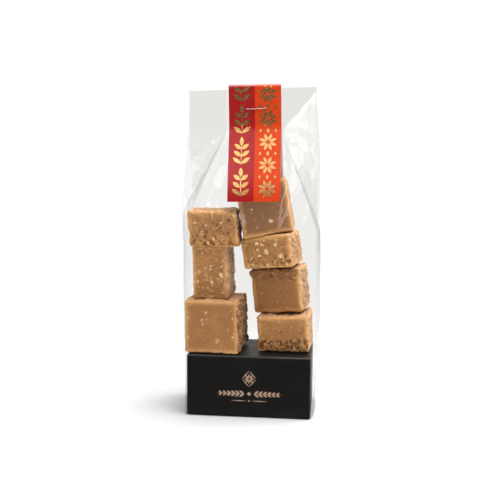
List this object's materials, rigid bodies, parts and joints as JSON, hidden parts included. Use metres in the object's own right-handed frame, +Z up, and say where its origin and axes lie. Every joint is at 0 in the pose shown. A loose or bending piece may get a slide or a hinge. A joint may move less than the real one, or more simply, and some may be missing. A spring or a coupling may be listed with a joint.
{
  "type": "bag of peanut fudge cubes",
  "caption": "Clear upright bag of peanut fudge cubes on a black card base, closed by a folded card label and a staple.",
  "frame": {"origin": "centre of the card base's underside, which is also the middle of the whole pack's lowest face", "axes": "+Z up the height of the pack, +X along its width to the right of its front, +Y from its front to its back"},
  "size_m": [0.0852, 0.046, 0.1997],
  "materials": {
    "clear_film": "clear glossy plastic film, lightly creased",
    "fudge": "waxy caramel-brown peanut fudge with cream peanut pieces and rough broken sides",
    "black_card": "matt black coated card",
    "red_card": "satin card, crimson on one half and orange-red on the other",
    "gold_foil": "hot-stamped gold foil ornament",
    "staple_wire": "bright galvanised staple wire"
  },
  "bodies": {
    "root": {"bag": "clear_film", "card_base": "black_card", "label": "red_card", "staple": "staple_wire"}
  },
  "joints": []
}
